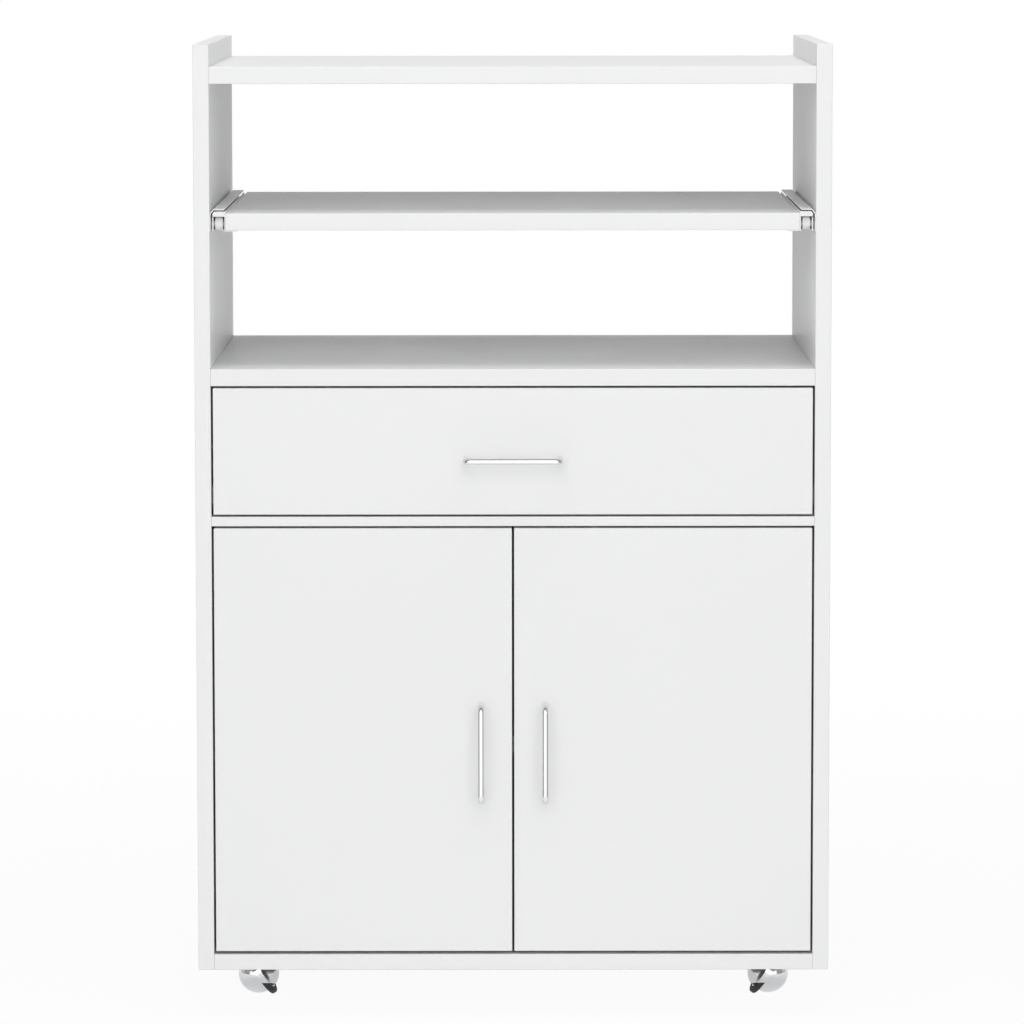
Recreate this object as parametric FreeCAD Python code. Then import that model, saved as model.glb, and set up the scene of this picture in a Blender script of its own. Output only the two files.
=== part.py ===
import FreeCAD, Part
import math
import os

# Microwave cart: a flat-pack cabinet of white melamine-faced boards on four ball casters.
# Millimetres. +X is to the right, +Y to the back, +Z up. The origin is on the floor, under
# the middle of the whole object with its handles.

# ---------------------------------------------------------------- driving dimensions
WIDTH = 600.0             # over the side panels
DEPTH = 400.0             # front plane to back edges, without handles
BODY_HEIGHT = 880.0       # side panels
CASTER_HEIGHT = 45.0      # floor to underside of the cabinet
BOARD = 15.0              # melamine-faced chipboard
SHELF_BOARD = 16.0        # top board and fixed shelf
TRAY_BOARD = 16.0         # pull-out board
DIVIDER = 9.0             # board between drawer and cupboard
BOX_BOARD = 12.0          # drawer box sides and back
HARDBOARD = 3.0           # cabinet back and drawer bottom
GAP = 2.0                 # reveal round drawer front and doors
DOOR_FLOOR_GAP = 3.0      # reveal under the doors
HANDLE_REACH = 28.0       # handles stand out this far from the front plane

# Heights above the underside of the cabinet.
SIDE_RISE = 21.0          # side panels stand above the top board
TRAY_TOP = 721.5
SHELF_TOP = 574.5         # fixed shelf over the drawer
DIVIDER_TOP = 434.5
INNER_SHELF_TOP = 221.0
INNER_SHELF_SETBACK = 25.0
INNER_SHELF_EASE = 1.0    # loose shelf, short by this at its ends and back
BOX_BOTTOM = 446.0        # underside of the drawer box sides
BOX_HEIGHT = 92.0
BOX_LENGTH = 340.0
BOTTOM_UP = 10.0          # drawer bottom above the box sides' lower edge
BOTTOM_GROOVE = 6.0
TRAY_DEPTH = 390.0

# Cabinet back: slides in grooves.
BACK_INSET = 9.0          # rear edge of the sides to the panel's rear face
GROOVE_DEPTH = 6.0

# Pull-out slides, one section for the tray and the drawer. Sideways places count from the
# cabinet side's inner face, heights from the top of the carried board.
SHEET = 1.0
SLIDE_SPACE = 15.0        # room for one slide between cabinet side and carried board
RAIL_LENGTH = 350.0
RUNNER_LENGTH = 344.0
RAIL_TOP = 3.9
RAIL_FOOT = -17.0
RAIL_BEND_RISE = 4.5      # sloping corner of the rail
RAIL_BEND_RUN = 3.5
RAIL_BEND_INSET = 0.4     # the slope's inner corners, shifted so that the sheet stays even
RAIL_FLANGE = 12.4        # inner edge of the rail's bottom flange
RUNNER_TOP = 1.8
CHANNEL_FLOOR = -3.1      # underside of the runner's channel, which rides on the front roller
CHANNEL_LIP = 2.8
LIP_TOP = -0.35
TAB_SLOPE = 1.6           # sideways run of the front tab's sloping corner
ROLLER_LIFT = 0.35        # front roller below the channel, rear roller above the rail's foot
RUNNER_FOOT_EDGE = 26.0
ROLLER_INNER = 5.2
ROLLER_WIDTH = 7.2
ROLLER_SIDE_PLAY = 0.4
HEAD_THICK = 0.6
FRONT_ROLLER_R = 6.4
REAR_ROLLER_R = 6.0
AXLE_R = 2.2
RUNNING = 0.05            # radial running clearance of all turning fits
FRONT_ROLLER_BACK = 9.0   # front roller's centre behind the rail's front end
REAR_ROLLER_AHEAD = 7.0   # rear roller's centre ahead of the runner's rear end
CHEEK_LENGTH = 17.0
SEATED = 0.5              # a folded or riveted piece reaches this far into its sheet
RIVET_LIP = 1.0           # axle heads stand out round the axle by this
SPACER_LIP = 0.8

# Shelf pins.
PIN_R = 2.5
PIN_DEPTH = 9.0
PIN_OUT = 8.0
PIN_PLACES = (70.0, 345.0)

# Concealed cup hinges for inset doors. Plan places (u, v): u inwards from the cabinet side's
# inner face, v back from the front plane, doors shut.
HINGE_FROM_END = 80.0
CUP_R = 17.5
CUP_DEPTH = 11.0
CUP_WALL = 0.8
CUP_EDGE = 5.0            # door edge to cup
CUP_FLANGE = 1.2          # flange stands out round the cup by this
CUP_EAR = (7.0, 29.0)     # half width and half length of the screw ears
CUP_LUG = (3.0, 2.0)      # half width of a lug at its foot and at its tip
CUP_PIVOT = (12.8, 12.4)
ARM_PIVOT = (28.0, 22.0)
HINGE_PIN_R = 1.2
LINK_PATH = (CUP_PIVOT, (14.6, 8.2), (20.0, 7.5), (27.4, 9.2), ARM_PIVOT)
LINK_HALF_WIDTH = 1.7
LINK_EYE_R = 2.9
LINK_HALF_HEIGHT = 4.2
ARM_NEAR_EDGE = ((26.2, 19.1), (18.5, 23.5), (4.0, 33.0), (4.0, 78.0))
ARM_FAR_EDGE = ((10.5, 78.0), (10.5, 38.5), (22.0, 30.0), (30.0, 24.8))
ARM_SPINE = ((10.5, 78.0), (10.5, 38.5), (22.0, 30.0), (24.3, 28.0),
             (23.5, 27.1), (21.3, 29.0), (9.3, 37.9), (9.3, 78.0))
ARM_CHEEK_IN = 4.6
ARM_CHEEK_OUT = 5.8
ARM_EYE_R = 3.4
LUG_IN = 6.3
LUG_OUT = 7.5
PIN_HEAD = 0.3            # hinge pins stand out of what holds them by this
PLATE_BACK = 54.0         # mounting plate screws behind the front plane
PLATE_THICK = 3.0
PLATE_HALF = ((9.0, 25.0), (9.0, 11.0), (23.0, 5.0), (23.0, -5.0), (9.0, -11.0), (9.0, -14.0))
PLATE_BLOCK = (9.2, 43.0, 33.0)   # block under the arm: thickness, front end, length

# Handles: bent round wire, fixed from behind.
HANDLE_WIRE = 5.8
HANDLE_CENTRES = 88.9     # three and a half inches
HANDLE_BEND = 5.0
DOOR_HANDLE_X = 30.4
DOOR_HANDLE_Z = 210.7
DRAWER_HANDLE_Z = 489.4

# Ball casters. a counts along the tilted wheel axle from the ball's centre, r is the radius.
CASTER_IN = 52.0          # ball centre inwards from the outer side face
SWIVEL_BACK = 83.0        # swivel axis from the front plane, and from the back edge
SWIVEL_SIDE = 7.0         # swivel axis inwards of the ball's centre
TRAIL = 24.0
WHEEL_TILT = 56.0         # wheel plane from the horizontal, degrees
DISH_R = 19.5
HOOD_R = 19.9
SHELL = 1.5
TREAD_R = 25.0
TREAD_WIDTH = 5.5
TREAD_EDGE = 1.2          # chamfer of the tread's shoulders
GUARD_R = 26.9
GUARD_WALL = 1.1
HOOD_CUT = 10.8           # hood ends this far below the ball's centre
HOOD_RIM = 6.2            # hood and guard start this far along the axle
GUARD_EDGE = 0.4          # and the guard reaches down to here
DISH_FLOOR = -16.0
AXLE_PIN_R = 3.0
AXLE_ENDS = (-13.5, 18.9)
AXLE_BLIND = -13.8        # floor of the hub's bore
HUB_R = 6.5
HUB_END = 5.8
WASHER_R = 5.5
WASHER_ENDS = (6.3, 17.6)
STEM_R = 4.0
STEM_IN_BOARD = 12.0
STEM_COLLAR = (8.5, 1.2)  # radius and thickness of the collar under the board
STEM_RIVET = 1.0          # the stem's lower end is spread out by this
BOSS_R = 6.5              # hood's boss round the stem
BOSS_FOOT = 31.0          # above the floor
BOSS_GAP = 0.4            # boss to collar
NECK_R = 5.2              # neck from the boss to the hood
NECK_RISE = 6.5           # neck's middle above the boss's foot
NECK_END = (8.0, -6.0, 11.0)      # from the ball's centre

# Round pieces are made of flats; this many go round each.
ROD_SIDES = 12
EYE_SIDES = 8
ROLLER_SIDES = 16
CUP_SIDES = 16
CASTER_SIDES = 20
BEND_STEPS = 3

# ---------------------------------------------------------------- derived places
V = FreeCAD.Vector
FRONT = HANDLE_REACH - (DEPTH + HANDLE_REACH) / 2
REAR = FRONT + DEPTH
BASE = CASTER_HEIGHT
INNER = WIDTH / 2 - BOARD
BOARD_END = DEPTH - BACK_INSET - HARDBOARD
BACK_Y = FRONT + BOARD_END
BOX_DATUM = BOX_BOTTOM + TRAY_BOARD
DOOR_BOTTOM = BOARD + DOOR_FLOOR_GAP
DOOR_TOP = DIVIDER_TOP - DIVIDER - GAP
DOOR_WIDTH = INNER - 1.5 * GAP
DRAWER_BOTTOM = DIVIDER_TOP + GAP
SHELF_UNDER = SHELF_TOP - SHELF_BOARD
DRAWER_TOP = SHELF_UNDER - GAP
FRONT_ROLLER_Z = CHANNEL_FLOOR - ROLLER_LIFT - FRONT_ROLLER_R
REAR_ROLLER_Z = RAIL_FOOT + SHEET + ROLLER_LIFT + REAR_ROLLER_R
HINGE_HEIGHTS = (DOOR_BOTTOM + HINGE_FROM_END, DOOR_TOP - HINGE_FROM_END)
TILT = math.radians(WHEEL_TILT)
TREAD_SIDE = TREAD_R - TREAD_EDGE
BALL_HEIGHT = TREAD_R * math.sin(TILT) - TREAD_EDGE * math.cos(TILT)
BALL_X = WIDTH / 2 - CASTER_IN
SWIVEL_X = BALL_X - SWIVEL_SIDE


def box(x0, x1, y0, y1, z0, z1):
    """A block between two corners; z counts from the underside of the cabinet."""
    return Part.makeBox(x1 - x0, y1 - y0, z1 - z0, V(x0, y0, BASE + z0))


def prism(points, direction):
    """A closed outline of straight runs, pushed along a direction."""
    return Part.Face(Part.makePolygon(points + [points[0]])).extrude(direction)


def ring(radius, sides, height=0.0, skip=0.0):
    """Corners of an even polygon round Z, the first one towards +X or some way past it."""
    turns = [2 * math.pi * (step + skip) / sides for step in range(sides)]
    return [V(radius * math.cos(turn), radius * math.sin(turn), height) for turn in turns]


def rod(radius, start, end, sides=ROD_SIDES, skip=0.0):
    """A straight rod of flats between two points, its corners at the radius."""
    run = end.sub(start)
    turn = FreeCAD.Rotation(V(0, 0, 1), run)
    corners = [start.add(turn.multVec(corner)) for corner in ring(radius, sides, 0.0, skip)]
    return prism(corners, run)


def bore(radius, start, end, sides=ROD_SIDES):
    """A rod to cut away round another: the middles of its flats, at the radius, face the
    other's corners."""
    return rod(radius / math.cos(math.pi / sides), start, end, sides, 0.5)


def upright(radius, point, tall, sides=ROD_SIDES):
    """A rod that stands on a point."""
    return rod(radius, point, point.add(V(0, 0, tall)), sides)


def lathe(outline, sides):
    """A turned piece of flats: a closed (r, a) outline taken round Z, a counting up Z."""
    rings = [ring(r, sides, a) for r, a in outline]
    faces = []
    for low, high in zip(rings, rings[1:] + rings[:1]):
        for step in range(sides):
            after = (step + 1) % sides
            corners = []
            for corner in (low[step], low[after], high[after], high[step]):
                if all(corner.distanceToPoint(other) > 1e-6 for other in corners):
                    corners.append(corner)
            if len(corners) > 2:
                faces.append(Part.Face(Part.makePolygon(corners + corners[:1])))
    solid = Part.Solid(Part.Shell(faces))
    if solid.Volume < 0:
        solid.reverse()
    return solid.removeSplitter()


def mirrored(shape):
    """The same piece for the other side of the cart."""
    return shape.mirror(V(0, 0, 0), V(1, 0, 0))


def joined(shapes):
    """One solid from shapes that meet."""
    first = shapes[0]
    return first.multiFuse(shapes[1:]).removeSplitter()


def group(shapes):
    """Loose like pieces that share one name."""
    return Part.makeCompound(shapes)


def save(name, shape):
    shape.exportStep("parts/" + name + ".step")


# ---------------------------------------------------------------- boards of the cabinet
def along_x(radius, point, out, into):
    """A rod along X through a point: out towards -X, into towards +X."""
    return rod(radius, point.sub(V(out, 0, 0)), point.add(V(into, 0, 0)))


def side_panel():
    """Left side: full height, grooved for the back, bored for the shelf pins."""
    panel = box(-WIDTH / 2, -INNER, FRONT, REAR, 0, BODY_HEIGHT)
    groove_top = SHELF_UNDER + GROOVE_DEPTH
    tools = [box(-INNER - GROOVE_DEPTH, -INNER, BACK_Y, BACK_Y + HARDBOARD, 0, groove_top)]
    for back in PIN_PLACES:
        tools.append(along_x(PIN_R, pin_place(back), PIN_DEPTH, 1))
    return panel.cut(tools)


def pin_place(back):
    """A shelf pin's centre on the left side's inner face."""
    return V(-INNER, FRONT + back, BASE + INNER_SHELF_TOP - BOARD - PIN_R)


def shelf_pin(back):
    """A nickelled pin in the side panel; the loose shelf lies on it."""
    return along_x(PIN_R, pin_place(back), PIN_DEPTH, PIN_OUT)


def top_board():
    top = BODY_HEIGHT - SIDE_RISE
    return box(-INNER, INNER, FRONT, REAR, top - SHELF_BOARD, top)


def fixed_shelf():
    """Shelf over the drawer; a groove in its underside takes the back panel's top edge."""
    board = box(-INNER, INNER, FRONT, REAR, SHELF_UNDER, SHELF_TOP)
    groove_top = SHELF_UNDER + GROOVE_DEPTH
    return board.cut(box(-INNER, INNER, BACK_Y, BACK_Y + HARDBOARD, SHELF_UNDER, groove_top))


def divider_board():
    return box(-INNER, INNER, FRONT, BACK_Y, DIVIDER_TOP - DIVIDER, DIVIDER_TOP)


def bottom_board():
    """Bottom board with the four stem bores."""
    board = box(-INNER, INNER, FRONT, BACK_Y, 0, BOARD)
    return board.cut([upright(STEM_R, V(x, y, BASE), STEM_IN_BOARD) for x, y in swivel_places()])


def back_panel():
    reach = INNER + GROOVE_DEPTH
    return box(-reach, reach, BACK_Y, BACK_Y + HARDBOARD, 0, SHELF_UNDER + GROOVE_DEPTH)


def inner_shelf():
    """Loose shelf on four pins."""
    half = INNER - INNER_SHELF_EASE
    under = INNER_SHELF_TOP - BOARD
    front = FRONT + INNER_SHELF_SETBACK
    return box(-half, half, front, BACK_Y - INNER_SHELF_EASE, under, INNER_SHELF_TOP)


# ---------------------------------------------------------------- pull-out slides
def section(points, length, front, datum):
    """A bent sheet section (sideways, height) drawn out along Y, on the left side."""
    corners = [V(-INNER + u, front, BASE + datum + h) for u, h in points]
    return prism(corners, V(0, length, 0))


def flat(u0, u1, h0, h1):
    """Outline of a plain rectangle between two sideways places and two heights."""
    return [(u0, h0), (u0, h1), (u1, h1), (u1, h0)]


def across(radius, u0, u1, y, z):
    """A rod across the cart between two sideways places."""
    return rod(radius, V(-INNER + u0, y, z), V(-INNER + u1, y, z))


def slide_rail(front, datum):
    """Fixed rail: C of bent sheet with a sloping top corner, a foot flange for the rear
    roller, and at the front a folded cheek and riveted axle that carry the front roller."""
    bend = RAIL_TOP - RAIL_BEND_RISE
    outline = [
        (0, RAIL_FOOT),
        (0, bend),
        (RAIL_BEND_RUN, RAIL_TOP),
        (SLIDE_SPACE - SHEET, RAIL_TOP),
        (SLIDE_SPACE - SHEET, RAIL_TOP - SHEET),
        (RAIL_BEND_RUN + RAIL_BEND_INSET, RAIL_TOP - SHEET),
        (SHEET, bend - RAIL_BEND_INSET),
        (SHEET, RAIL_FOOT + SHEET),
        (RAIL_FLANGE, RAIL_FOOT + SHEET),
        (RAIL_FLANGE, RAIL_FOOT),
    ]
    rail = section(outline, RAIL_LENGTH, front, datum)
    no_flange = flat(SHEET, SLIDE_SPACE, RAIL_FOOT - SHEET, RAIL_FOOT + 2 * SHEET)
    rail = rail.cut(section(no_flange, CHEEK_LENGTH + 3 * SHEET, front, datum))
    cheek_top = CHANNEL_FLOOR - 0.6
    cheek_foot = RAIL_FOOT + 0.4
    cheek_in = CHANNEL_LIP - 0.2
    cheek_out = cheek_in + SHEET
    cheek = flat(cheek_in, cheek_out, cheek_foot, cheek_top)
    fold = flat(SEATED, cheek_out, cheek_foot, cheek_top)
    stop = flat(SEATED, ROLLER_INNER + ROLLER_WIDTH / 2, RAIL_FOOT, CHANNEL_FLOOR - SHEET)
    y = front + FRONT_ROLLER_BACK
    z = BASE + datum + FRONT_ROLLER_Z
    head = ROLLER_INNER + ROLLER_WIDTH + ROLLER_SIDE_PLAY
    parts = [
        rail,
        section(cheek, CHEEK_LENGTH - SEATED, front + SEATED, datum),
        section(fold, SHEET, front + CHEEK_LENGTH - SHEET, datum),
        section(stop, SHEET, front + RAIL_LENGTH - SHEET, datum),
        across(AXLE_R, SEATED, head + HEAD_THICK, y, z),
        across(AXLE_R + SPACER_LIP, cheek_out - SEATED, ROLLER_INNER - ROLLER_SIDE_PLAY, y, z),
        across(AXLE_R + RIVET_LIP, head, head + HEAD_THICK, y, z),
    ]
    return joined(parts)


def slide_runner(front, datum):
    """Moving runner: web on the carried board's edge, foot flange under the board, and a
    channel over the rollers that is closed in front by a tab. The rear roller's axle is
    riveted to its web."""
    outline = [
        (RUNNER_FOOT_EDGE, RAIL_FOOT),
        (SLIDE_SPACE - SHEET, RAIL_FOOT),
        (SLIDE_SPACE - SHEET, CHANNEL_FLOOR),
        (CHANNEL_LIP, CHANNEL_FLOOR),
        (CHANNEL_LIP, LIP_TOP),
        (CHANNEL_LIP + SHEET, LIP_TOP),
        (CHANNEL_LIP + SHEET, CHANNEL_FLOOR + SHEET),
        (SLIDE_SPACE - SHEET, CHANNEL_FLOOR + SHEET),
        (SLIDE_SPACE - SHEET, RUNNER_TOP),
        (SLIDE_SPACE, RUNNER_TOP),
        (SLIDE_SPACE, RAIL_FOOT + SHEET),
        (RUNNER_FOOT_EDGE, RAIL_FOOT + SHEET),
    ]
    tab = [
        (CHANNEL_LIP, CHANNEL_FLOOR),
        (CHANNEL_LIP, LIP_TOP),
        (CHANNEL_LIP + TAB_SLOPE, RUNNER_TOP),
        (SLIDE_SPACE, RUNNER_TOP),
        (SLIDE_SPACE, CHANNEL_FLOOR),
    ]
    y = front + RUNNER_LENGTH - REAR_ROLLER_AHEAD
    z = BASE + datum + REAR_ROLLER_Z
    head = ROLLER_INNER - ROLLER_SIDE_PLAY
    web = SLIDE_SPACE - SHEET + SEATED
    parts = [
        section(outline, RUNNER_LENGTH, front, datum),
        section(tab, SHEET, front, datum),
        across(AXLE_R, head - HEAD_THICK, web, y, z),
        across(AXLE_R + RIVET_LIP, head - HEAD_THICK, head, y, z),
        across(AXLE_R + SPACER_LIP, ROLLER_INNER + ROLLER_WIDTH + ROLLER_SIDE_PLAY, web, y, z),
    ]
    return joined(parts)


def roller(radius, y, z):
    """Nylon roller, a ring round its axle."""
    hole = (AXLE_R + RUNNING) / math.cos(math.pi / ROLLER_SIDES)
    outline = [(hole, 0), (radius, 0), (radius, ROLLER_WIDTH), (hole, ROLLER_WIDTH)]
    solid = lathe(outline, ROLLER_SIDES)
    solid.Placement = FreeCAD.Placement(V(-INNER + ROLLER_INNER, y, z), FreeCAD.Rotation(V(0, 1, 0), 90))
    return solid


def roller_pair(radius, y, z):
    left = roller(radius, y, z)
    return group([left, mirrored(left)])


# ---------------------------------------------------------------- tray and drawer
def tray_board():
    half = INNER - SLIDE_SPACE
    return box(-half, half, FRONT, FRONT + TRAY_DEPTH, TRAY_TOP - TRAY_BOARD, TRAY_TOP)


def drawer_bottom():
    half = INNER - SLIDE_SPACE - BOX_BOARD + BOTTOM_GROOVE
    level = BOX_BOTTOM + BOTTOM_UP
    y0 = FRONT + BOARD - BOTTOM_GROOVE
    return box(-half, half, y0, FRONT + BOARD + BOX_LENGTH, level, level + HARDBOARD)


def drawer_front():
    """Inset front, grooved for the drawer's bottom."""
    half = INNER - GAP
    front = box(-half, half, FRONT, FRONT + BOARD, DRAWER_BOTTOM, DRAWER_TOP)
    return front.cut(drawer_bottom())


def drawer_side():
    outer = -INNER + SLIDE_SPACE
    y0 = FRONT + BOARD
    side = box(outer, outer + BOX_BOARD, y0, y0 + BOX_LENGTH, BOX_BOTTOM, BOX_BOTTOM + BOX_HEIGHT)
    return side.cut(drawer_bottom())


def drawer_back():
    """Back of the box, standing on the bottom panel between the sides."""
    half = INNER - SLIDE_SPACE - BOX_BOARD
    y1 = FRONT + BOARD + BOX_LENGTH
    foot = BOX_BOTTOM + BOTTOM_UP + HARDBOARD
    return box(-half, half, y1 - BOX_BOARD, y1, foot, BOX_BOTTOM + BOX_HEIGHT)


# ---------------------------------------------------------------- handles
def swept(path, across_path, radius, sides):
    """Wire of flats along a flat path, mitred where it turns."""
    rings = []
    for index, point in enumerate(path):
        before = point.sub(path[max(index - 1, 0)])
        after = path[min(index + 1, len(path) - 1)].sub(point)
        runs = [V(run).normalize() for run in (before, after) if run.Length > 0]
        half_turn = runs[0].getAngle(runs[-1]) / 2
        middle = runs[0].add(runs[-1]).normalize()
        outwards = across_path.cross(middle).multiply(1 / math.cos(half_turn))
        rings.append([point.add(V(outwards).multiply(corner.x)).add(V(across_path).multiply(corner.y))
                      for corner in ring(radius, sides)])
    faces = [Part.Face(Part.makePolygon(end + end[:1])) for end in (rings[0], rings[-1])]
    for low, high in zip(rings, rings[1:]):
        for step in range(sides):
            after = (step + 1) % sides
            corners = [low[step], low[after], high[after], high[step], low[step]]
            faces.append(Part.Face(Part.makePolygon(corners)))
    solid = Part.Solid(Part.Shell(faces))
    if solid.Volume < 0:
        solid.reverse()
    return solid


def wire_handle(centre, along):
    """Round wire bent to a bow: two legs, two tight bends and a straight grip."""
    out = V(0, -1, 0)
    reach = HANDLE_REACH - HANDLE_WIRE / 2
    half = HANDLE_CENTRES / 2
    path = []
    for side in (-1, 1):
        arm = [centre.add(V(along).multiply(side * half))]
        for step in range(BEND_STEPS + 1):
            turn = math.pi / 2 * step / BEND_STEPS
            sideways = half - HANDLE_BEND * (1 - math.cos(turn))
            outwards = reach - HANDLE_BEND * (1 - math.sin(turn))
            arm.append(centre.add(V(along).multiply(side * sideways)).add(V(out).multiply(outwards)))
        path += arm if side < 0 else arm[::-1]
    return swept(path, out.cross(along), HANDLE_WIRE / 2, ROD_SIDES)


def drawer_handle_centre():
    return V(0, FRONT, BASE + DRAWER_HANDLE_Z)


def door_handle_centre():
    """Middle of the left door's handle feet."""
    return V(-DOOR_HANDLE_X, FRONT, BASE + DOOR_HANDLE_Z)


# ---------------------------------------------------------------- doors and their hinges
def plan(u, v, z):
    """A hinge point from plan places and height, left door."""
    return V(-INNER + u, FRONT + v, z)


def cup_axis(height):
    return plan(GAP + CUP_EDGE + CUP_R, 0, BASE + height)


def door_panel():
    """Left door: inset panel with two cup pockets."""
    x0 = -INNER + GAP
    door = box(x0, x0 + DOOR_WIDTH, FRONT, FRONT + BOARD, DOOR_BOTTOM, DOOR_TOP)
    tools = []
    for height in HINGE_HEIGHTS:
        floor = cup_axis(height).add(V(0, BOARD - CUP_DEPTH, 0))
        tools.append(rod(CUP_R, floor, floor.add(V(0, BOARD, 0)), CUP_SIDES))
    return door.cut(tools)


def hinge_cup(height):
    """Pressed steel cup with a screw flange, and two lugs that hold the link's pin."""
    axis = cup_axis(height)
    floor = axis.add(V(0, BOARD - CUP_DEPTH, 0))
    back = axis.add(V(0, BOARD, 0))
    ear, ear_reach = CUP_EAR
    flange = rod(CUP_R + CUP_FLANGE, back, back.add(V(0, CUP_WALL, 0)), CUP_SIDES)
    ears = Part.makeBox(2 * ear, CUP_WALL, 2 * ear_reach, back.sub(V(ear, 0, ear_reach)))
    wall = rod(CUP_R, floor, back, CUP_SIDES)
    inside = floor.add(V(0, CUP_WALL, 0))
    hollow = rod(CUP_R - CUP_WALL, inside, inside.add(V(0, CUP_DEPTH + CUP_WALL, 0)), CUP_SIDES)
    shell = joined([flange, ears, wall]).cut(hollow)
    u, v = CUP_PIVOT
    deep = BOARD - CUP_DEPTH + CUP_WALL / 2
    foot, tip = CUP_LUG
    lugs = []
    for low, high in ((-LUG_OUT, -LUG_IN), (LUG_IN, LUG_OUT)):
        outline = [(u - foot, deep), (u + foot, deep), (u + tip, v + tip), (u - tip, v + tip)]
        z = BASE + height + low
        lugs.append(prism([plan(a, b, z) for a, b in outline], V(0, 0, high - low)))
    reach = LUG_OUT + PIN_HEAD
    pin = upright(HINGE_PIN_R, plan(u, v, BASE + height - reach), 2 * reach)
    return joined([shell] + lugs + [pin])


def band(path, half_width):
    """Outline of a flat bar that follows a path of plan points, mitred at its turns."""
    near = []
    far = []
    for index, point in enumerate(path):
        start = path[max(index - 1, 0)]
        end = path[min(index + 1, len(path) - 1)]
        before = V(point[0] - start[0], point[1] - start[1], 0)
        after = V(end[0] - point[0], end[1] - point[1], 0)
        runs = [run.normalize() for run in (before, after) if run.Length > 0]
        half_turn = runs[0].getAngle(runs[-1]) / 2
        middle = runs[0].add(runs[-1]).normalize()
        reach = half_width / math.cos(half_turn)
        near.append((point[0] - middle.y * reach, point[1] + middle.x * reach))
        far.append((point[0] + middle.y * reach, point[1] - middle.x * reach))
    return near + far[::-1]


def hinge_link(height):
    """Cranked link that hooks round the door's edge as the door opens."""
    z = BASE + height - LINK_HALF_HEIGHT
    tall = 2 * LINK_HALF_HEIGHT
    outline = [plan(u, v, z) for u, v in band(LINK_PATH, LINK_HALF_WIDTH)]
    parts = [prism(outline, V(0, 0, tall))]
    bores = []
    for u, v in (CUP_PIVOT, ARM_PIVOT):
        parts.append(upright(LINK_EYE_R, plan(u, v, z), tall, EYE_SIDES))
        foot = plan(u, v, z - tall)
        bores.append(bore(HINGE_PIN_R + RUNNING, foot, foot.add(V(0, 0, 3 * tall))))
    return joined(parts).cut(bores)


def hinge_arm(height):
    """Pressed arm: two cheeks and a spine, clipped over the mounting plate, with the
    link's fixed pin across its tip."""
    u, v = ARM_PIVOT
    cheek = ARM_NEAR_EDGE + ARM_FAR_EDGE
    parts = []
    for low, high in ((-ARM_CHEEK_OUT, -ARM_CHEEK_IN), (ARM_CHEEK_IN, ARM_CHEEK_OUT)):
        z = BASE + height + low
        parts.append(prism([plan(a, b, z) for a, b in cheek], V(0, 0, high - low)))
        parts.append(upright(ARM_EYE_R, plan(u, v, z), high - low, EYE_SIDES))
    z = BASE + height - ARM_CHEEK_OUT
    parts.append(prism([plan(a, b, z) for a, b in ARM_SPINE], V(0, 0, 2 * ARM_CHEEK_OUT)))
    reach = ARM_CHEEK_OUT + PIN_HEAD
    parts.append(upright(HINGE_PIN_R, plan(u, v, BASE + height - reach), 2 * reach))
    return joined(parts)


def hinge_plate(height):
    """Cast mounting plate: winged base on the side panel and the block the arm clips to."""
    middle = BASE + height
    outline = PLATE_HALF + tuple((-h, v) for h, v in PLATE_HALF[::-1])
    wings = prism([plan(0, PLATE_BACK + v, middle + h) for h, v in outline], V(PLATE_THICK, 0, 0))
    thick, front, length = PLATE_BLOCK
    half = ARM_CHEEK_IN - 0.1
    block = Part.makeBox(thick, length, 2 * half, plan(0, front, middle - half))
    return joined([wings, block])


# ---------------------------------------------------------------- casters
def swivel_places():
    """The four swivel axes."""
    front = FRONT + SWIVEL_BACK
    rear = REAR - SWIVEL_BACK
    return [(side * SWIVEL_X, y) for y in (front, rear) for side in (-1, 1)]


def on_axle(solid):
    """Move a piece drawn round Z onto the left front caster's axle."""
    lean = FreeCAD.Rotation(V(0, 1, 0), WHEEL_TILT)
    ball = V(-BALL_X, FRONT + SWIVEL_BACK + TRAIL, BALL_HEIGHT)
    solid.Placement = FreeCAD.Placement(ball, lean).multiply(solid.Placement)
    return solid


def axle_place(a):
    """A point on the left front caster's axle."""
    lean = V(math.sin(TILT), 0, math.cos(TILT))
    return V(-BALL_X, FRONT + SWIVEL_BACK + TRAIL, BALL_HEIGHT).add(lean.multiply(a))


def ball_points(radius, a0, a1, steps):
    """Outline (r, a) points on a ball from one place along the axle to another."""
    start = math.asin(a0 / radius)
    turn = (math.asin(a1 / radius) - start) / steps
    angles = [start + turn * step for step in range(steps + 1)]
    return [(round(radius * math.cos(angle), 6), radius * math.sin(angle)) for angle in angles]


def wheel_dish():
    """Chromed wheel: half a ball with a rim that seats the tread, and a bored hub."""
    inner = DISH_R - SHELL
    outline = ball_points(DISH_R, -DISH_R, 0.0, 4)
    outline += [(DISH_R, TREAD_WIDTH), (inner, TREAD_WIDTH)]
    outline += ball_points(inner, 0.0, DISH_FLOOR, 2) + [(0.0, DISH_FLOOR)]
    shell = on_axle(lathe(outline, CASTER_SIDES))
    hub = rod(HUB_R, axle_place(DISH_FLOOR - SHELL / 3), axle_place(HUB_END))
    hole = bore(AXLE_PIN_R + RUNNING, axle_place(AXLE_BLIND), axle_place(2 * HUB_END))
    return joined([shell, hub]).cut(hole)


def tread():
    """Rubber tyre with chamfered shoulders, shrunk on the dish's rim."""
    high = TREAD_WIDTH - TREAD_EDGE
    outline = [(DISH_R, 0.0), (TREAD_SIDE, 0.0), (TREAD_R, TREAD_EDGE), (TREAD_R, high),
               (TREAD_SIDE, TREAD_WIDTH), (DISH_R, TREAD_WIDTH)]
    return on_axle(lathe(outline, CASTER_SIDES))


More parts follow.
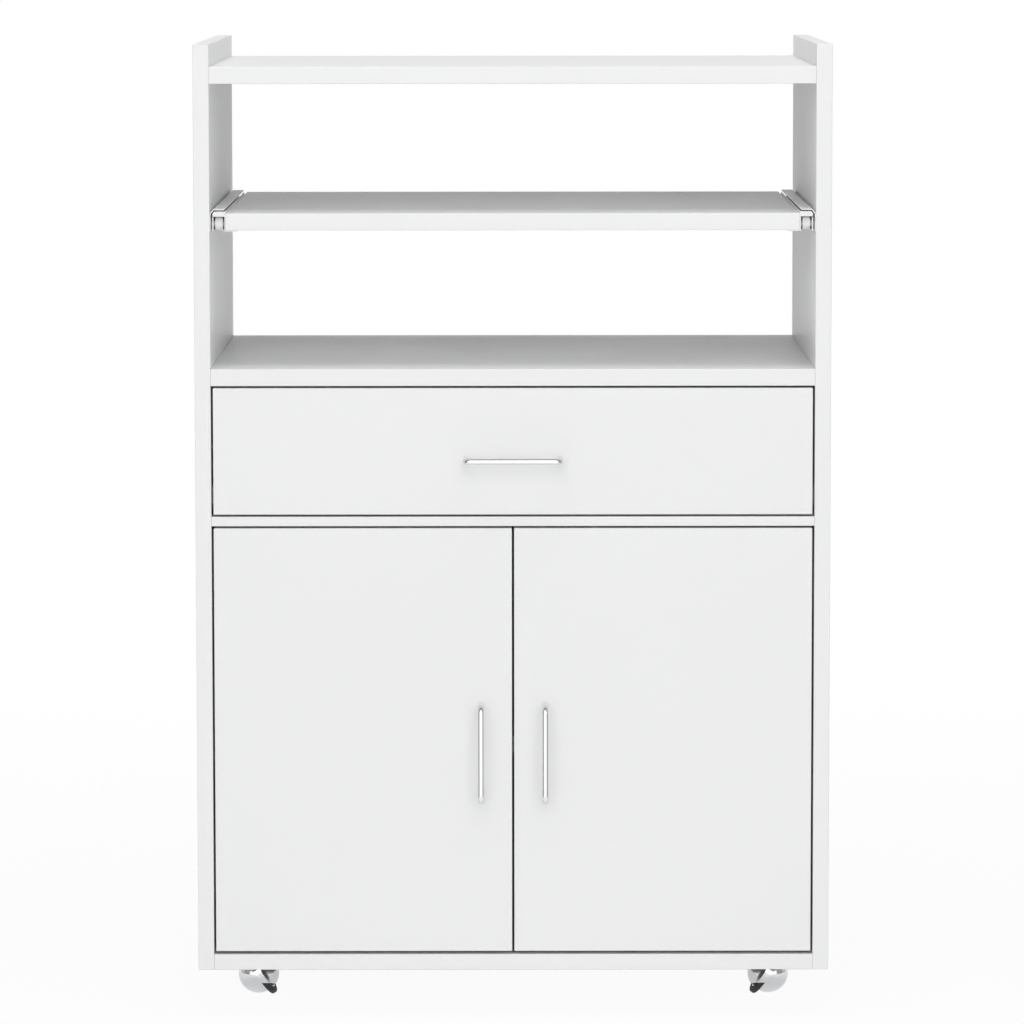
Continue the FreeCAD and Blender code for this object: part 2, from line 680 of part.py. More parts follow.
def hood_shell():
    """The other half of the ball with a guard round the tread, cut off flat under the board
    and above the floor."""
    inner = HOOD_R - SHELL
    outer_rim = HOOD_RIM + GUARD_WALL
    guard_in = GUARD_R - GUARD_WALL
    outline = ball_points(HOOD_R, outer_rim, HOOD_R, 3) + ball_points(inner, inner, HOOD_RIM, 2)
    outline += [(guard_in, HOOD_RIM), (guard_in, GUARD_EDGE), (GUARD_R, GUARD_EDGE), (GUARD_R, outer_rim)]
    shell = on_axle(lathe(outline, CASTER_SIDES))
    wide = 4 * GUARD_R
    ball = axle_place(0)
    corner = V(ball.x - wide / 2, ball.y - wide / 2, 0)
    below = Part.makeBox(wide, wide, wide, corner.add(V(0, 0, ball.z - HOOD_CUT - wide)))
    above = Part.makeBox(wide, wide, wide, corner.add(V(0, 0, BASE - 1.0)))
    return shell.cut([below, above])


def caster_hood():
    """Hood with its riveted axle, and the boss and neck that carry it round the stem."""
    inner = HOOD_R - SHELL
    axle = rod(AXLE_PIN_R, axle_place(AXLE_ENDS[0]), axle_place(AXLE_ENDS[1]))
    washer = rod(WASHER_R, axle_place(WASHER_ENDS[0]), axle_place(WASHER_ENDS[1]))
    foot = V(-SWIVEL_X, FRONT + SWIVEL_BACK, BOSS_FOOT)
    top = V(foot.x, foot.y, BASE - STEM_COLLAR[1] - BOSS_GAP)
    neck = rod(NECK_R, foot.add(V(0, 0, NECK_RISE)), axle_place(0).add(V(*NECK_END)))
    guard_in = GUARD_R - GUARD_WALL
    wheel_room = rod(guard_in, axle_place(-0.6), axle_place(HOOD_RIM + 0.6), CASTER_SIDES)
    ball_room = on_axle(lathe(ball_points(inner, -inner, inner, 8), CASTER_SIDES))
    carrier = rod(BOSS_R, foot, top).fuse(neck).cut([wheel_room, ball_room])
    hood = joined([hood_shell(), carrier, axle, washer])
    rivet_room = rod(STEM_R + STEM_RIVET + 0.7, foot.sub(V(0, 0, BOSS_R)), foot)
    stem_bore = bore(STEM_R + RUNNING, foot.sub(V(0, 0, BOSS_R)), top.add(V(0, 0, BOSS_R)))
    return hood.cut([rivet_room, stem_bore])


def caster_stem(x, y):
    """Screwed stem with its collar under the board; the hood turns on it, held by the spread
    lower end."""
    collar_r, collar = STEM_COLLAR
    spread = BOSS_FOOT - BOSS_GAP
    stem = rod(STEM_R, V(x, y, spread - 0.6), V(x, y, BASE + STEM_IN_BOARD))
    flange = rod(collar_r, V(x, y, BASE - collar), V(x, y, BASE))
    rivet = rod(STEM_R + STEM_RIVET, V(x, y, spread - 1.0), V(x, y, spread))
    return joined([stem, flange, rivet])


def for_casters(make):
    """One piece for each caster, front left, front right, rear left and rear right."""
    left = make()
    back = V(0, DEPTH - 2 * SWIVEL_BACK, 0)
    pieces = []
    for move in (V(0, 0, 0), back):
        piece = left.copy()
        piece.translate(move)
        pieces.append(piece)
        pieces.append(mirrored(piece))
    return pieces


# ---------------------------------------------------------------- build and save
def save_pair(name, left):
    save(name + "_left", left)
    save(name + "_right", mirrored(left))


def both_sides(shapes):
    return group(shapes + [mirrored(shape) for shape in shapes])


def save_cabinet():
    save_pair("side_panel", side_panel())
    save("top_board", top_board())
    save("fixed_shelf", fixed_shelf())
    save("divider_board", divider_board())
    save("bottom_board", bottom_board())
    save("back_panel", back_panel())
    save("inner_shelf", inner_shelf())
    save("shelf_pins", both_sides([shelf_pin(back) for back in PIN_PLACES]))


def save_slides():
    places = (("tray", FRONT, TRAY_TOP), ("drawer", FRONT + BOARD + GAP, BOX_DATUM))
    for name, front, datum in places:
        runner_front = front + 0.4
        if name == "drawer":
            runner_front = FRONT + BOARD
        save_pair(name + "_rail", slide_rail(front, datum))
        save_pair(name + "_runner", slide_runner(runner_front, datum))
        y = front + FRONT_ROLLER_BACK
        save(name + "_front_rollers", roller_pair(FRONT_ROLLER_R, y, BASE + datum + FRONT_ROLLER_Z))
        y = runner_front + RUNNER_LENGTH - REAR_ROLLER_AHEAD
        save(name + "_rear_rollers", roller_pair(REAR_ROLLER_R, y, BASE + datum + REAR_ROLLER_Z))


def save_drawer():
    save("tray_board", tray_board())
    save("drawer_front", drawer_front())
    save_pair("drawer_side", drawer_side())
    save("drawer_back", drawer_back())
    save("drawer_bottom", drawer_bottom())
    save("drawer_handle", wire_handle(drawer_handle_centre(), V(1, 0, 0)))


def save_doors():
    save_pair("door", door_panel())
    save_pair("door_handle", wire_handle(door_handle_centre(), V(0, 0, 1)))
    save_pair("hinge_cups", group([hinge_cup(height) for height in HINGE_HEIGHTS]))
    save_pair("hinge_links", group([hinge_link(height) for height in HINGE_HEIGHTS]))
    save("hinge_arms", both_sides([hinge_arm(height) for height in HINGE_HEIGHTS]))
    save("hinge_plates", both_sides([hinge_plate(height) for height in HINGE_HEIGHTS]))


def save_casters():
    corners = ("front_left", "front_right", "rear_left", "rear_right")
    for name, make in (("hood", caster_hood), ("dish", wheel_dish), ("tread", tread)):
        for corner, piece in zip(corners, for_casters(make)):
            save("caster_" + name + "_" + corner, piece)
    save("caster_stems", group([caster_stem(x, y) for x, y in swivel_places()]))


os.makedirs("parts", exist_ok=True)
save_cabinet()
save_slides()
save_drawer()
save_doors()
save_casters()
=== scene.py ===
import math

import bmesh
import bpy
import numpy as np
from mathutils import Euler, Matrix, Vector
from mathutils.geometry import delaunay_2d_cdt


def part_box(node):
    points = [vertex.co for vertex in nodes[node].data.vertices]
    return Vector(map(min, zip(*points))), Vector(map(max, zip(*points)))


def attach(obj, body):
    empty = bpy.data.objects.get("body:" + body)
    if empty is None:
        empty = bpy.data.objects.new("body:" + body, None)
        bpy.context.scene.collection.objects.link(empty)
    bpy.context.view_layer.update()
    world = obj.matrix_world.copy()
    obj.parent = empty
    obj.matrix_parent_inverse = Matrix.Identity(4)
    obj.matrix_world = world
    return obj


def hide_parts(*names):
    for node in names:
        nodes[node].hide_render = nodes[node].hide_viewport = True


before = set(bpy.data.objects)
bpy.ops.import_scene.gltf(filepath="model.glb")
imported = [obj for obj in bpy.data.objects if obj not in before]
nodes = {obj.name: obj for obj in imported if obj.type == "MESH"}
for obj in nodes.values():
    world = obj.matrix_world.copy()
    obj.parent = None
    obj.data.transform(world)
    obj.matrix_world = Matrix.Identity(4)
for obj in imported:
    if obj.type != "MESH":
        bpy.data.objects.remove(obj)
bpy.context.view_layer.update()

# ============================================================ the boards of the carcass
# Chipboard faced on both sides with white melamine foil. The edges that show are closed with
# a thin plastic band, trimmed and rounded off by hand height on an edging machine.
MM = 0.001
FACE = -0.186    # front of the carcass
INNER = 0.285    # inner face of a side, out from the middle
ARRIS = 0.7 * MM
BAND = 0.5 * MM
WHITE = (0.855, 0.858, 0.860)


def grid(rows, columns):
    """Four-cornered faces between neighbouring rows and columns of a grid of points."""
    first = np.arange(rows * columns).reshape(rows, columns)
    return np.stack([first[:-1, :-1], first[:-1, 1:], first[1:, 1:], first[1:, :-1]], -1).reshape(-1, 4)


def make(name, body, material, parts, stands_for=(), sharp=32.0):
    """One closed piece from parts, each (points, faces) or (points, faces, uv). Points that
    meet are welded, faces turned outwards, and edges sharper than the angle kept crisp."""
    points = np.concatenate([np.asarray(part[0], float).reshape(-1, 3) for part in parts])
    starts = np.cumsum([0] + [np.asarray(part[0]).reshape(-1, 3).shape[0] for part in parts])
    faces = [[int(i) + int(start) for i in face] for part, start in zip(parts, starts) for face in part[1]]
    mesh = bpy.data.meshes.new(name)
    mesh.from_pydata(points.tolist(), [], faces)
    if len(parts[0]) > 2:
        uv = np.concatenate([np.asarray(part[2], float).reshape(-1, 2) for part in parts])
        corner = np.zeros(len(mesh.loops), np.int32)
        mesh.loops.foreach_get("vertex_index", corner)
        mesh.uv_layers.new(name="along").data.foreach_set("uv", uv[corner].astype(np.float32).ravel())
    bm = bmesh.new()
    bm.from_mesh(mesh)
    bmesh.ops.remove_doubles(bm, verts=bm.verts, dist=1e-6)
    bmesh.ops.dissolve_degenerate(bm, edges=bm.edges, dist=1e-7)
    bmesh.ops.recalc_face_normals(bm, faces=bm.faces)
    bm.to_mesh(mesh)
    bm.free()
    mesh.shade_smooth()
    mesh.set_sharp_from_angle(angle=math.radians(sharp))
    mesh.materials.append(material)
    thing = bpy.data.objects.new(name, mesh)
    bpy.context.scene.collection.objects.link(thing)
    evened = thing.modifiers.new("even_flats", "WEIGHTED_NORMAL")
    evened.keep_sharp = True
    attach(thing, body)
    if stands_for:
        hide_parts(*stands_for)
    return thing


def square_to(way):
    """Two directions square to each other and to a way that runs along an axis."""
    one = np.roll(np.abs(way), 1)
    return one, np.cross(way, one)


def hole(centre, way, radius, depth, sides=24):
    """A blind round hole: a grid round the hole's wall and a fan over its floor. A point is
    centre + radius * (cos t, sin t) across the way in, at depth along it."""
    one, two = square_to(way)
    turn = np.linspace(0, 2 * np.pi, sides + 1)
    circle = np.cos(turn)[:, None] * one + np.sin(turn)[:, None] * two
    rows = np.stack([circle * radius, circle * radius + way * depth, circle * 0 + way * depth])
    return rows + np.asarray(centre, float), grid(3, sides + 1)


def board(low, high, arris, axis, side, holes):
    """A board as six grids, one to a face. A grid's outer rows lean out to 45 degrees and lie
    on the arris: point = inner corner + arris * (tan a, tan b, 1) made one long. Holes, each
    (centre, radius, depth), are let into the face that looks along the axis."""
    low, high = np.asarray(low, float), np.asarray(high, float)
    half = (high - low) / 2 - arris
    lean = np.radians([-45.0, -22.5, 0.0, 0.0, 22.5, 45.0])
    place = np.array([-1.0, -1.0, -1.0, 1.0, 1.0, 1.0])
    a, b = np.meshgrid(np.tan(lean), np.tan(lean), indexing="ij")
    p, q = np.meshgrid(place, place, indexing="ij")
    way = np.stack([a, b, np.ones_like(a)], -1)
    way /= np.linalg.norm(way, axis=-1, keepdims=True)
    parts = []
    for k in range(3):
        order = [(k + 1) % 3, (k + 2) % 3, k]
        for sign in (-1.0, 1.0):
            local = np.stack([p, q, np.ones_like(p)], -1) * half[order] + arris * way
            local[..., 2] *= sign
            points = np.empty_like(local)
            points[..., order] = local
            faces = grid(6, 6)
            points = points + (low + high) / 2
            if holes and k == axis and sign == side:
                parts.append(pierced(points[[2, 3, 3, 2], [2, 2, 3, 3]], k, holes))
                faces = np.delete(faces, len(faces) // 2, axis=0)
                into = np.zeros(3)
                into[k] = -sign
                parts += [hole(centre, into, radius, depth) for centre, radius, depth in holes]
            parts.append((points, faces))
    return parts


def pierced(corners, k, holes, sides=24):
    """The flat of a face with round holes: the plane is cut into triangles between the four
    corners and the circles, and those inside a circle are left out."""
    across, up = [(k + 1) % 3, (k + 2) % 3]
    way = np.zeros(3)
    way[k] = 1.0
    one, two = square_to(way)
    turn = np.linspace(0, 2 * np.pi, sides + 1)[:-1]
    circle = np.cos(turn)[:, None] * one + np.sin(turn)[:, None] * two
    rounds = [np.asarray(centre) + radius * circle for centre, radius, depth in holes]
    flat = np.concatenate([corners, *rounds])[:, [across, up]]
    rings = [range(4)] + [range(4 + sides * n, 4 + sides * (n + 1)) for n in range(len(holes))]
    edges = [(ring[i - 1], ring[i]) for ring in rings for i in range(len(ring))]
    found = delaunay_2d_cdt([Vector(point) for point in flat], edges, [], 0, 1e-7)
    points = np.empty((len(found[0]), 3))
    points[:, [across, up]] = np.array([tuple(point) for point in found[0]])
    points[:, k] = corners[0, k]
    triangles = np.array([list(face) for face in found[2]])
    middles = points[triangles].mean(axis=1)
    keep = np.ones(len(triangles), bool)
    for centre, radius, depth in holes:
        keep &= np.linalg.norm(middles - np.asarray(centre), axis=1) > radius * 0.99
    return points, triangles[keep]


def group(name, inputs, outputs):
    """An empty shader node group with named sockets, each (name, kind, value)."""
    made = bpy.data.node_groups.new(name, "ShaderNodeTree")
    for label, kind, value in inputs:
        socket = made.interface.new_socket(label, in_out="INPUT", socket_type=kind)
        if value is not None:
            socket.default_value = value
    for label, kind in outputs:
        made.interface.new_socket(label, in_out="OUTPUT", socket_type=kind)
    return made, made.nodes.new("NodeGroupInput"), made.nodes.new("NodeGroupOutput")


def node(tree, kind, links=(), **settings):
    """A node with its settings, and links, each (input, the socket or value it takes)."""
    made = tree.nodes.new(kind)
    for key, value in settings.items():
        setattr(made, key, value)
    for key, value in links:
        if isinstance(value, bpy.types.NodeSocket):
            tree.links.new(value, made.inputs[key])
        else:
            made.inputs[key].default_value = value
    return made


def maths(tree, operation, *values):
    """What a maths node makes of its values."""
    return node(tree, "ShaderNodeMath", enumerate(values), operation=operation).outputs[0]


def vector_maths(tree, operation, *values):
    """What a vector maths node makes of its vectors."""
    return node(tree, "ShaderNodeVectorMath", enumerate(values), operation=operation).outputs[0]


def parts_of(tree, vector):
    """The three numbers of a vector, as sockets."""
    return node(tree, "ShaderNodeSeparateXYZ", [(0, vector)]).outputs


def noise(tree, place, scale, **more):
    """Soft noise from 0 to 1; more sets the node's other inputs by name."""
    return node(tree, "ShaderNodeTexNoise",
                [("Vector", place), ("Scale", scale), *more.items()]).outputs["Fac"]


def spread(tree, value, low, high):
    """A value from 0 to 1 laid over a range."""
    return node(tree, "ShaderNodeMapRange",
                [("Value", value), ("To Min", low), ("To Max", high)]).outputs[0]


def ramp(tree, value, start, end, low=0.0, high=1.0):
    """Goes softly from low to high while the value goes from start to end."""
    return node(tree, "ShaderNodeMapRange",
                [("Value", value), ("From Min", start), ("From Max", end), ("To Min", low),
                 ("To Max", high)], interpolation_type="SMOOTHSTEP").outputs[0]


def mixed(tree, mask, plain, other):
    """A colour that goes from plain to other with the mask; each is a socket or three numbers."""
    plain, other = (colour if isinstance(colour, bpy.types.NodeSocket) else (*colour, 1.0)
                    for colour in (plain, other))
    return node(tree, "ShaderNodeMix", [(0, mask), (6, plain), (7, other)], data_type="RGBA").outputs[2]


def shade(colour, factor):
    """A colour made darker or lighter, no lighter than full white."""
    return [min(1.0, c * factor) for c in colour]


def pearl_group():
    """Surface of pressed foil: tiny round pits and a slow waviness of the board under it."""
    made, start, end = group("foil_pearl",
                             [("Vector", "NodeSocketVector", None), ("Grain", "NodeSocketFloat", 900.0)],
                             [("Height", "NodeSocketFloat"), ("Tone", "NodeSocketFloat")])
    place = start.outputs["Vector"]
    pits = noise(made, place, start.outputs["Grain"], Detail=2.0)
    height = maths(made, "MULTIPLY_ADD", noise(made, place, 14.0), 3.0, pits)
    made.links.new(height, end.inputs["Height"])
    made.links.new(noise(made, place, 3.5, Detail=4.0), end.inputs["Tone"])
    return made


def band_group():
    """Hairline where an edge band meets the face: a narrow mask one band's thickness in from
    the box's faces, worked out as the smallest distance to the planes that carry a band."""
    made, start, end = group("band_hairline",
                             [("Vector", "NodeSocketVector", None), ("Low", "NodeSocketVector", None),
                              ("High", "NodeSocketVector", None), ("Band", "NodeSocketFloat", 0.0005)],
                             [("Line", "NodeSocketFloat")])
    place, band = start.outputs["Vector"], start.outputs["Band"]
    least = vector_maths(made, "MINIMUM", vector_maths(made, "SUBTRACT", place, start.outputs["Low"]),
                         vector_maths(made, "SUBTRACT", start.outputs["High"], place))
    inset = node(made, "ShaderNodeCombineXYZ", [(0, band), (1, band), (2, band)]).outputs[0]
    off = parts_of(made, vector_maths(made, "ABSOLUTE", vector_maths(made, "SUBTRACT", least, inset)))
    nearest = maths(made, "MINIMUM", maths(made, "MINIMUM", off[0], off[1]), off[2])
    made.links.new(ramp(made, nearest, 0.0, 0.00012, 1.0, 0.0), end.inputs["Line"])
    return made


def handled_group():
    """Faint smears of handling: stretched soft noise that only changes the gloss."""
    made, start, end = group("handled",
                             [("Vector", "NodeSocketVector", None), ("Scale", "NodeSocketFloat", 30.0)],
                             [("Smear", "NodeSocketFloat")])
    soft = noise(made, start.outputs["Vector"], start.outputs["Scale"], Detail=5.0, Roughness=0.6,
                 Distortion=0.6)
    made.links.new(ramp(made, soft, 0.35, 0.72), end.inputs["Smear"])
    return made


foil_pearl = pearl_group()
band_hairline = band_group()
handled = handled_group()


def material(name, **constants):
    """A new material with its shader and its object coordinates; constants go straight onto
    the shader's sockets."""
    made = bpy.data.materials.new(name)
    made.use_nodes = True
    tree = made.node_tree
    tree.nodes.clear()
    shader = tree.nodes.new("ShaderNodeBsdfPrincipled")
    surface = tree.nodes.new("ShaderNodeOutputMaterial")
    tree.links.new(shader.outputs[0], surface.inputs["Surface"])
    for key, value in constants.items():
        shader.inputs[key.replace("_", " ")].default_value = value
    return made, tree, shader, node(tree, "ShaderNodeTexCoord").outputs["Object"]


def use(tree, shared, **links):
    """The outputs of a shared effect placed in a material with its own values."""
    return node(tree, "ShaderNodeGroup", links.items(), node_tree=shared).outputs


def surfaced(tree, shader, colour, gloss, height, strength, distance):
    """Leads colour, roughness and relief to the shader. gloss is a mask with the roughness where
    it is 0 and where it is 1; the relief is a height with its strength and its distance."""
    relief = node(tree, "ShaderNodeBump",
                  [("Height", height), ("Strength", strength), ("Distance", distance)])
    tree.links.new(colour, shader.inputs["Base Color"])
    tree.links.new(spread(tree, *gloss), shader.inputs["Roughness"])
    tree.links.new(relief.outputs[0], shader.inputs["Normal"])


def foil(name, low, high, banded, shaded_underside):
    """White melamine foil: a satin sheen, fine pits and, at the banded edges, a hairline.
    banded says along which axes the hairline is drawn, counted in from the box's faces. On a board whose
    underside is shaded, the faces that look down are painted dark grey in place of the foil: painted shade
    for the shade under the cart."""
    made, tree, shader, place = material(name)
    pearl = use(tree, foil_pearl, Vector=place)
    out_of_reach = 9.0 * (1.0 - np.array(banded, float))
    hairline = use(tree, band_hairline, Vector=place, Low=tuple(low - out_of_reach),
                   High=tuple(high + out_of_reach), Band=BAND)["Line"]
    smear = use(tree, handled, Vector=place, Scale=9.0)["Smear"]
    tone = mixed(tree, pearl["Tone"], shade(WHITE, 0.985), shade(WHITE, 1.012))
    colour = mixed(tree, hairline, tone, shade(WHITE, 0.72))
    # Painted shade: the faces that look down get a dark grey colour, held in paper, that stands for the
    # shade under the cart; it is not a backing paper.
    if shaded_underside:
        upwards = parts_of(tree, node(tree, "ShaderNodeNewGeometry").outputs["Normal"])[2]
        paper = mixed(tree, pearl["Tone"], (0.100, 0.098, 0.092), (0.155, 0.150, 0.140))
        colour = mixed(tree, maths(tree, "LESS_THAN", upwards, -0.7), colour, paper)
    surfaced(tree, shader, colour, (smear, 0.40, 0.47), pearl["Height"], 0.12, 0.00006)
    return made


def corners(name):
    """Low and high corner of a CAD node, as arrays."""
    low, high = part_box(name)
    return np.array(low), np.array(high)


def foil_board(name, body, banded, axis=None, side=1, holes=(), shaded_underside=False):
    """The faced board that stands for a CAD board of the same name."""
    low, high = corners(name)
    return make(name + "_board", body, foil(name + "_foil", low, high, banded, shaded_underside),
                board(low, high, ARRIS, axis, side, holes), stands_for=(name,))


# Shelf pin holes are bored in rows 32 mm apart on the sides' inner faces; four pins use one.
PIN_R = 2.5 * MM
PIN_BORE = 9.0 * MM
PIN_STEP = 0.032
PIN_ROWS = (0.070, 0.345)    # back from the front
PIN_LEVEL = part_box("shelf_pins")[0].z + PIN_R
for side, inner, way in (("left", -INNER, 1), ("right", INNER, -1)):
    rows = [((inner, FACE + back, PIN_LEVEL + step * PIN_STEP), PIN_R, PIN_BORE)
            for back in PIN_ROWS for step in range(-2, 3)]
    foil_board("side_panel_" + side, "cabinet", (0, 1, 1), 0, way, rows)
# The bottom board's downward faces carry painted shade in place of the foil.
for name in ("top_board", "fixed_shelf", "divider_board", "bottom_board", "inner_shelf"):
    foil_board(name, "cabinet", (0, 1, 0), shaded_underside=name == "bottom_board")

# ============================================================ the cabinet's back
# A thin hardboard panel in grooves of the sides and the fixed shelf. Its face towards the
# cupboard is lacquered white, its rear face is bare pressed fibre.


def hardboard(name, axis, sign):
    """Pressed fibre, brown and woolly where bare, and lacquered white on the face that looks
    along the axis with that sign."""
    made, tree, shader, place = material(name, Specular_IOR_Level=0.35)
    fibres = noise(tree, place, 420.0, Detail=5.0, Distortion=1.5)
    clouds = noise(tree, place, 22.0, Detail=4.0)
    bare = mixed(tree, fibres, (0.25, 0.145, 0.080), (0.47, 0.310, 0.195))
    cloudy = mixed(tree, spread(tree, clouds, 0.0, 0.35), bare, (0.31, 0.19, 0.110))
    lacquer = mixed(tree, clouds, (0.80, 0.80, 0.79), (0.84, 0.84, 0.83))
    outwards = parts_of(tree, node(tree, "ShaderNodeNewGeometry").outputs["Normal"])[axis]
    mask = maths(tree, "GREATER_THAN", maths(tree, "MULTIPLY", outwards, sign), 0.5)
    surfaced(tree, shader, mixed(tree, mask, cloudy, lacquer), (mask, 0.78, 0.5), fibres, 0.35, 0.0001)
    return made


def dress(name, finish):
    """Give a CAD node its finish."""
    nodes[name].data.materials.clear()
    nodes[name].data.materials.append(finish)


dress("back_panel", hardboard("back_hardboard", 1, -1.0))

# ============================================================ shelf pins and other turned steel
# Nickel plated pins pushed into the sides' holes; each has a thin collar that stops it.


def turned(outline, centre, way, sides=40):
    """A closed outline of (radius, place) points taken round an axis: a point is
    centre + place * way + radius * (cos t * one + sin t * two), t going once round."""
    outline = np.asarray(list(outline) + [outline[0]], float)
    way = np.asarray(way, float) / np.linalg.norm(way)
    one = np.cross((0.0, 1.0, 0.0) if abs(way[1]) < 0.9 else (0.0, 0.0, 1.0), way)
    one /= np.linalg.norm(one)
    two = np.cross(way, one)
    turn = np.linspace(0, 2 * np.pi, sides + 1)
    circle = np.cos(turn)[:, None] * one + np.sin(turn)[:, None] * two
    points = (np.asarray(centre, float) + outline[:, 1, None, None] * way
              + outline[:, 0, None, None] * circle[None])
    return points, grid(len(outline), sides + 1)


def plated(name, colour, roughness, streak, scale=700.0):
    """Plated steel: a metal skin with fine pits, uneven gloss and smears of handling."""
    made, tree, shader, place = material(name, Metallic=1.0)
    pits = noise(tree, place, scale, Detail=4.0)
    smear = use(tree, handled, Vector=place, Scale=60.0)["Smear"]
    tone = mixed(tree, pits, shade(colour, 0.94), shade(colour, 1.04))
    surfaced(tree, shader, tone, (smear, roughness, roughness + streak), pits, 0.06, 0.00005)
    return made


NICKEL = plated("nickel_plate", (0.62, 0.60, 0.565), 0.24, 0.14)
ZINC = plated("zinc_plate", (0.60, 0.61, 0.62), 0.34, 0.12, 300.0)

PIN_OUTLINE = [(0, -9), (2.1, -9), (2.45, -8.6), (2.45, 0), (3.7, 0), (3.9, 0.2), (3.9, 0.6), (3.7, 0.8),
               (2.45, 0.8), (2.45, 7.4), (2.0, 7.9), (0, 7.9)]
pins = [turned([(r * MM, a * MM) for r, a in PIN_OUTLINE], (x, FACE + back, PIN_LEVEL), (way, 0, 0), 24)
        for x, way in ((-INNER, 1.0), (INNER, -1.0)) for back in PIN_ROWS]
make("shelf_pins_turned", "cabinet", NICKEL, pins, stands_for=("shelf_pins",))

# ============================================================ pull-out slides
# Roller slides of white powder coated sheet steel: a rail on each cabinet side and a runner
# under each edge of the pull-out board and of the drawer box, screwed on from inside.


def coat(name):
    """White powder coat: soft gloss over a fine orange peel, a little dulled at places."""
    made, tree, shader, place = material(name, Specular_IOR_Level=0.5)
    peel = noise(tree, place, 650.0, Detail=1.0)
    smear = use(tree, handled, Vector=place, Scale=40.0)["Smear"]
    tone = mixed(tree, smear, (0.845, 0.845, 0.84), (0.815, 0.815, 0.805))
    surfaced(tree, shader, tone, (smear, 0.32, 0.46), peel, 0.15, 0.00008)
    return made


def rounded(name, radius):
    """Round the edges of a CAD node a little, as punched and tumbled sheet has them."""
    weld = nodes[name].modifiers.new("weld", "WELD")
    weld.merge_threshold = 1e-6
    bevel = nodes[name].modifiers.new("rounded_edges", "BEVEL")
    bevel.width = radius
    bevel.segments = 2
    bevel.limit_method = "ANGLE"
    bevel.angle_limit = math.radians(35.0)


COAT = coat("white_powder_coat")
for slide in ("tray", "drawer"):
    for part in ("_rail_left", "_rail_right", "_runner_left", "_runner_right"):
        dress(slide + part, COAT)
        rounded(slide + part, 0.25 * MM)

# ============================================================ rollers of the slides
# White nylon rollers, moulded with a slight crown and a recess in each face; each turns on an
# axle riveted to its rail or runner.


def nylon():
    """Moulded nylon: a pale, slightly milky plastic with flow marks and a scuffed tread."""
    made, tree, shader, place = material("white_nylon", Subsurface_Weight=0.08, Subsurface_Scale=0.002)
    flow = noise(tree, place, 260.0, Detail=3.0, Distortion=0.8)
    tone = mixed(tree, flow, (0.80, 0.80, 0.775), (0.86, 0.86, 0.845))
    surfaced(tree, shader, tone, (flow, 0.42, 0.58), flow, 0.12, 0.0001)
    return made


NYLON = nylon()
ROLLER_X = 0.2798    # outer face of a roller, out from the middle
ROLLER_RADII = (("front", 6.4), ("rear", 6.0))


def roller(radius, x, y, z, way):
    """Roller outline: bore, recessed face, rounded shoulder and a crowned tread."""
    crown = [(radius - 0.45 + 0.45 * math.sin(math.pi * a / 7.2) ** 0.5, a) for a in
             np.linspace(0.25, 6.95, 9)]
    outline = [(2.25, 0.9), (3.0, 0.9), (3.4, 0.5), (radius - 1.6, 0.5), (radius - 1.2, 0.0),
               (radius - 0.7, 0.0)] + crown + [(radius - 0.7, 7.2), (radius - 1.2, 7.2),
                                               (radius - 1.6, 6.7), (3.4, 6.7), (3.0, 6.3), (2.25, 6.3)]
    return turned([(r * MM, a * MM) for r, a in outline], (x, y, z), (way, 0, 0), 48)


for slide in ("tray", "drawer"):
    for end, radius in ROLLER_RADII:
        name = slide + "_" + end + "_rollers"
        low, high = corners(name)
        y, z = (low[1] + high[1]) / 2, (low[2] + high[2]) / 2
        pair = [roller(radius, -ROLLER_X, y, z, 1.0), roller(radius, ROLLER_X, y, z, -1.0)]
        make(name + "_moulded", name, NYLON, pair, stands_for=(name,))

# ============================================================ the pull-out board
# A loose faced board that lies on its two runners, banded on all four edges.
foil_board("tray_board", "tray", (1, 1, 0))

# ============================================================ the drawer
# A box of faced board with a thin bottom in grooves, behind an inset front that closes
# between the sides.
foil_board("drawer_front", "drawer", (1, 0, 1))
for side in ("left", "right"):
    foil_board("drawer_side_" + side, "drawer", (0, 0, 1))
foil_board("drawer_back", "drawer", (0, 0, 1))
dress("drawer_bottom", hardboard("drawer_hardboard", 2, 1.0))

# ============================================================ handles
# One length of steel wire bent to a bow with two tight bends, satin chromed, and held by two
# screws through the front from behind.
WIRE_R = 2.9 * MM
BEND_R = 5.0 * MM
REACH = 28.0 * MM
HALF_CENTRES = 44.45 * MM    # screws three and a half inches apart


def wire(path, across, radius, sides=32):
    """A round wire along a flat path: at each point a circle, radius * (cos t * out +
    sin t * across), where out is square to the path; the ends are closed by fans."""
    path = np.asarray(path, float)
    across = np.asarray(across, float)
    run = np.gradient(path, axis=0)
    run /= np.linalg.norm(run, axis=1, keepdims=True)
    out = np.cross(across, run)
    turn = np.linspace(0, 2 * np.pi, sides + 1)
    size = np.ones(len(path) + 2) * radius
    size[[0, -1]] = 0.0
    path, out = (np.concatenate([part[:1], part, part[-1:]]) for part in (path, out))
    circle = np.cos(turn)[None, :, None] * out[:, None] + np.sin(turn)[None, :, None] * across
    points = path[:, None] + size[:, None, None] * circle
    length = np.concatenate([[0], np.cumsum(np.linalg.norm(np.diff(path, axis=0), axis=1))])
    uv = np.stack(np.broadcast_arrays(turn[None] * radius, length[:, None]), -1)
    return points, grid(len(path), sides + 1), uv


